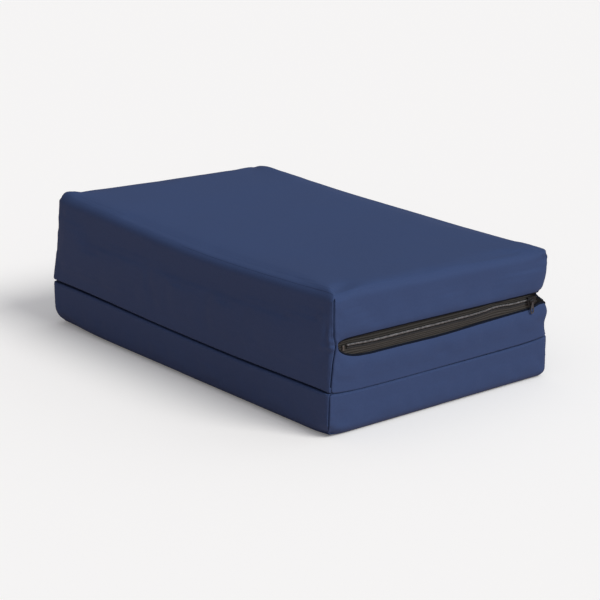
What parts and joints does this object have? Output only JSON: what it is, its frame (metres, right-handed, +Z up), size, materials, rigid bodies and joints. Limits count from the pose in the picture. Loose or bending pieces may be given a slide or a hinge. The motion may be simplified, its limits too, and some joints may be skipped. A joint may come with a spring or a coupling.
{
  "type": "folding mat",
  "caption": "Foam mat folded in half, a thick block hinged over a thin pad, with zipped coated-fabric covers that open flat side by side.",
  "frame": {"origin": "on the floor, under the middle of the folded mat", "axes": "+Z up; -Y is the front, the hinge end that carries the thick section's zip; +Y the open end; +X the right side seen from the front"},
  "size_m": [0.375, 0.6182, 0.178],
  "materials": {
    "cover": "matte coated navy cloth, smooth, faint weave",
    "foam": "open-cell polyurethane foam",
    "zip_tape": "woven black tape",
    "zip_coil": "nylon coil, semi-matte",
    "zip_metal": "satin black enamel"
  },
  "bodies": {
    "thick_section": {"thick_foam_core": "foam", "thick_cover_cap": "cover", "thick_front_band": "cover", "thick_base_panel": "cover", "thick_zip_upper_tape": "zip_tape", "thick_zip_lower_tape": "zip_tape", "thick_zip_upper_coil": "zip_coil", "thick_zip_lower_coil": "zip_coil", "thick_zip_top_stops": "zip_metal", "thick_zip_bottom_stop": "zip_metal", "fold_hinge_strip": "cover"},
    "thick_slider": {"thick_zip_slider": "zip_metal"},
    "thick_pull": {"thick_zip_pull": "zip_metal"},
    "thin_section": {"thin_foam_core": "foam", "thin_cover_tray": "cover", "thin_rear_band": "cover", "thin_inner_panel": "cover", "thin_zip_upper_tape": "zip_tape", "thin_zip_lower_tape": "zip_tape", "thin_zip_upper_coil": "zip_coil", "thin_zip_lower_coil": "zip_coil", "thin_zip_top_stops": "zip_metal", "thin_zip_bottom_stop": "zip_metal"},
    "thin_slider": {"thin_zip_slider": "zip_metal"},
    "thin_pull": {"thin_zip_pull": "zip_metal"}
  },
  "joints": [
    {"name": "fold", "type": "hinge", "parent": "thick_section", "child": "thin_section", "pos_m": [0, -0.309, 0.0585], "axis": [-1, 0, 0], "range_deg": [0, 180], "deforming": ["fold_hinge_strip"]},
    {"name": "thick_zip_slide", "type": "slide", "parent": "thick_section", "child": "thick_slider", "axis": [-1, 0, 0], "range_m": [0, 0.304], "deforming": ["thick_zip_upper_coil", "thick_zip_lower_coil"]},
    {"name": "thick_pull_swing", "type": "hinge", "parent": "thick_slider", "child": "thick_pull", "pos_m": [0.1515, -0.3076, 0.109], "axis": [-1, 0, 0], "range_deg": [0, 165]},
    {"name": "thin_zip_slide", "type": "slide", "parent": "thin_section", "child": "thin_slider", "axis": [-1, 0, 0], "range_m": [0, 0.304], "deforming": ["thin_zip_upper_coil", "thin_zip_lower_coil"]},
    {"name": "thin_pull_swing", "type": "hinge", "parent": "thin_slider", "child": "thin_pull", "pos_m": [0.1515, 0.3076, 0.0285], "axis": [1, 0, 0], "range_deg": [0, 165]}
  ]
}
